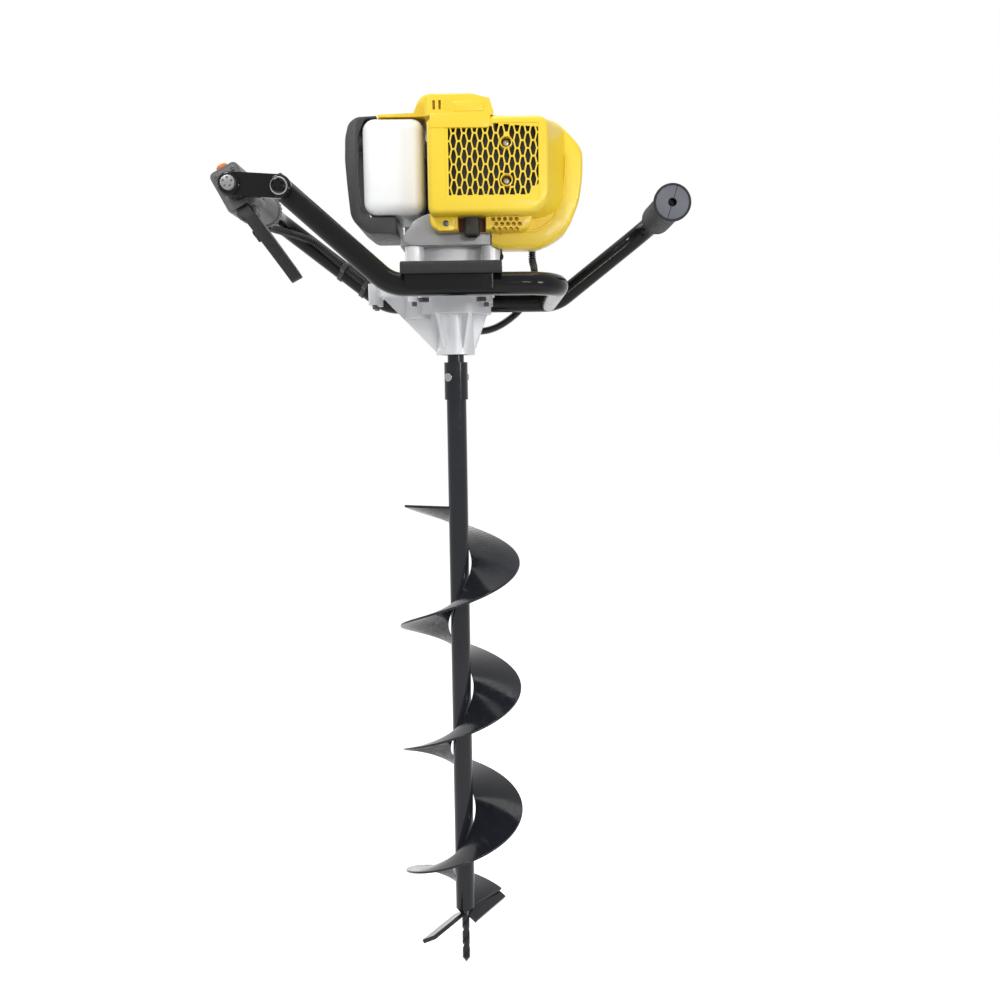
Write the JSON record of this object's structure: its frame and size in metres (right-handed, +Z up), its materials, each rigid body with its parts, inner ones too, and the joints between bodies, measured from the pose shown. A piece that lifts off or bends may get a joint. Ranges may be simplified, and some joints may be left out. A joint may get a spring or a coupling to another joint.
{
  "type": "earth auger",
  "caption": "Hand-held petrol earth auger: engine over a reduction gearbox in a bent-tube handle frame with a throttle grip, turning a spiral digging bit.",
  "frame": {"origin": "tip of the pilot point, on the axis of the digging bit", "axes": "+Z up along the bit to the engine, -Y towards the operator in the picture's front view, +X to the right grip"},
  "size_m": [0.5387, 0.3146, 1.068],
  "materials": {
    "black_steel": "satin black paint",
    "tool_steel": "ground steel",
    "zinc_steel": "bright zinc",
    "cast_alloy": "fine cast",
    "exhaust_steel": "matte heat-proof black",
    "red_shield": "matte",
    "yellow_shell": "smooth moulded",
    "white_tank": "milky moulded",
    "black_plastic": "fine grained",
    "black_rubber": "matte",
    "orange_plastic": "smooth moulded",
    "clear_rubber": "smooth",
    "rope": "braided"
  },
  "bodies": {
    "frame": {"front_rail": "black_steel", "rear_rail": "black_steel", "frame_brackets": "black_steel", "handle_strap": "black_steel", "shaft_bearings": "tool_steel", "gearbox_screws": "zinc_steel", "engine_posts": "zinc_steel", "cover_screws": "zinc_steel", "strap_bolts": "zinc_steel", "lever_pin": "zinc_steel", "spark_plug": "zinc_steel", "gearbox_housing": "cast_alloy", "gearbox_cover": "cast_alloy", "crankcase": "cast_alloy", "cylinder": "cast_alloy", "carburetor": "cast_alloy", "muffler": "exhaust_steel", "exhaust_pipe": "exhaust_steel", "heat_shield": "red_shield", "muffler_cover": "yellow_shell", "cylinder_cover": "yellow_shell", "starter_cover": "yellow_shell", "fuel_tank": "white_tank", "tank_guard": "black_plastic", "air_filter_case": "black_plastic", "plug_boot": "black_plastic", "cable_hose": "black_plastic", "cable_clips": "black_plastic", "throttle_body": "black_plastic", "grip_left": "black_plastic", "rubber_pads": "black_rubber", "grip_right": "black_rubber", "fuel_line": "clear_rubber"},
    "auger": {"auger_tube": "black_steel", "auger_flight": "black_steel", "cutting_blades": "tool_steel", "pilot_point": "black_steel", "bit_coupler": "black_steel", "coupler_bolt": "zinc_steel", "coupler_nut": "zinc_steel", "output_shaft": "tool_steel", "output_gear": "tool_steel"},
    "countershaft": {"countershaft": "tool_steel", "countershaft_gear": "tool_steel"},
    "input": {"input_shaft": "tool_steel", "clutch_drum": "tool_steel"},
    "crank": {"crankshaft": "tool_steel", "flywheel": "cast_alloy", "clutch_shoes": "tool_steel"},
    "piston": {"piston": "cast_alloy", "connecting_rod": "tool_steel"},
    "throttle_lever": {"throttle_lever": "black_plastic"},
    "lock_lever": {"lock_lever": "black_plastic"},
    "stop_button": {"stop_button": "orange_plastic"},
    "starter_handle": {"starter_handle": "black_plastic", "starter_rope": "rope"},
    "starter_pulley": {"starter_pulley": "black_plastic"},
    "fuel_cap": {"fuel_cap": "black_plastic"},
    "choke_lever": {"choke_lever": "black_plastic"},
    "primer_bulb": {"primer_bulb": "clear_rubber"}
  },
  "joints": [
    {"name": "auger_spin", "type": "hinge", "parent": "frame", "child": "auger", "pos_m": [0, 0, 0.8], "axis": [0, 0, 1], "continuous": true},
    {"name": "countershaft_spin", "type": "hinge", "parent": "frame", "child": "countershaft", "pos_m": [-0.045, 0, 0.85], "axis": [0, 0, 1], "continuous": true},
    {"name": "input_spin", "type": "hinge", "parent": "frame", "child": "input", "pos_m": [0, 0, 0.87], "axis": [0, 0, 1], "continuous": true},
    {"name": "crank_spin", "type": "hinge", "parent": "frame", "child": "crank", "pos_m": [0, 0, 0.957], "axis": [0, 0, 1], "continuous": true},
    {"name": "piston_slide", "type": "slide", "parent": "frame", "child": "piston", "axis": [1, 0, 0], "range_m": [-0.034, 0]},
    {"name": "throttle_squeeze", "type": "hinge", "parent": "frame", "child": "throttle_lever", "pos_m": [-0.22326, -0.096, 0.93158], "axis": [0.8829, 0, 0.4695], "range_deg": [0, 26], "stiffness_Nm_per_rad": 0.3},
    {"name": "lock_press", "type": "hinge", "parent": "frame", "child": "lock_lever", "pos_m": [-0.24297, -0.069, 0.97716], "axis": [-0.8829, 0, -0.4695], "range_deg": [0, 2.5], "stiffness_Nm_per_rad": 1},
    {"name": "stop_press", "type": "slide", "parent": "frame", "child": "stop_button", "axis": [0.4695, 0, -0.8829], "range_m": [0, 0.003], "stiffness_N_per_m": 300},
    {"name": "pulley_spin", "type": "hinge", "parent": "frame", "child": "starter_pulley", "pos_m": [0, 0, 1.054], "axis": [0, 0, 1], "range_deg": [0, 1101.84], "stiffness_Nm_per_rad": 0.004},
    {"name": "starter_pull", "type": "slide", "parent": "frame", "child": "starter_handle", "axis": [0, 1, 0], "range_m": [0, 0.5], "deforming": ["starter_rope"]},
    {"name": "fuel_cap_turn", "type": "hinge", "parent": "frame", "child": "fuel_cap", "pos_m": [-0.065, 0.07, 1.012], "axis": [0, 1, 0], "range_deg": [0, 360]},
    {"name": "choke_swing", "type": "hinge", "parent": "frame", "child": "choke_lever", "pos_m": [0.055, 0.124, 0.932], "axis": [0, 1, 0], "range_deg": [0, 60]},
    {"name": "primer_press", "type": "slide", "parent": "frame", "child": "primer_bulb", "axis": [0, 0, 1], "range_m": [0, 0.004], "stiffness_N_per_m": 200}
  ],
  "couplings": [
    {"joint": "countershaft_spin", "follows": "auger_spin", "ratio": -5},
    {"joint": "input_spin", "follows": "auger_spin", "ratio": 25},
    {"joint": "starter_pull", "follows": "pulley_spin", "m_per_rad": 0.026}
  ]
}
